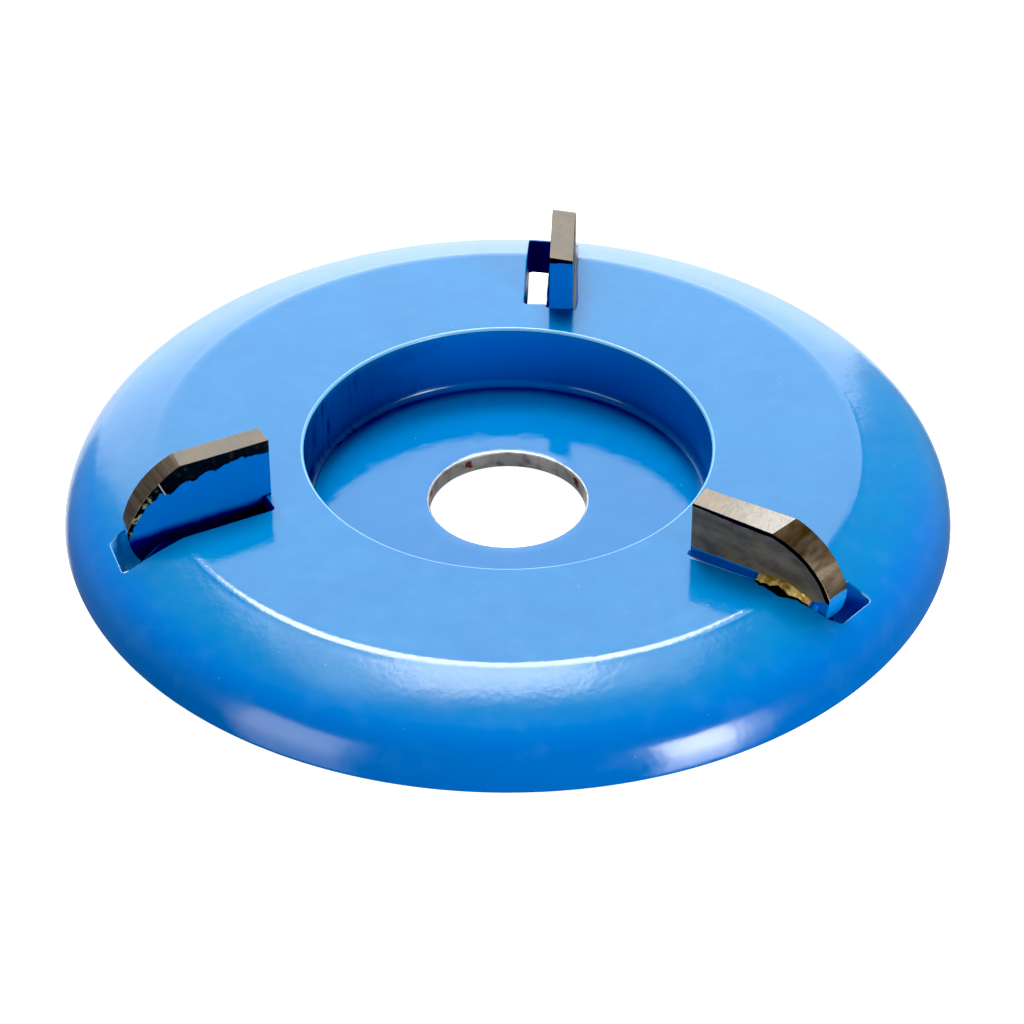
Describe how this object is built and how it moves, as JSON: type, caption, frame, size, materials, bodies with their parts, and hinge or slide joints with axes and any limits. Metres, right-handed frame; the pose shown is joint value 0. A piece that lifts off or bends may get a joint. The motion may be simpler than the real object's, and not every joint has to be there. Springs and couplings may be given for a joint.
{
  "type": "angle grinder carving disc",
  "caption": "Round steel disc with a domed rim, a sunk nut recess and an arbor hole, carrying upright cutter plates brazed into radial slots, for shaping wood with an angle grinder.",
  "frame": {"origin": "centre of the arbor hole, in the plane of the hub's underside, which is the lowest face", "axes": "+Z along the grinder spindle towards the clamping nut and the cutters; the first cutter stands on the +Y side, parallel to Y; seen from +Z the disc turns counter-clockwise in use"},
  "size_m": [0.09, 0.09, 0.0155],
  "materials": {
    "blue_enamel": "gloss blue stove enamel with fine orange peel",
    "ground_tool_steel": "ground grey steel with cross grinding marks",
    "brass_filler": "dull brazing filler"
  },
  "bodies": {
    "root": {"disc_body": "blue_enamel", "cutter_1": "ground_tool_steel", "cutter_2": "ground_tool_steel", "cutter_3": "ground_tool_steel", "braze_bead_1": "brass_filler", "braze_bead_2": "brass_filler", "braze_bead_3": "brass_filler"}
  },
  "joints": []
}
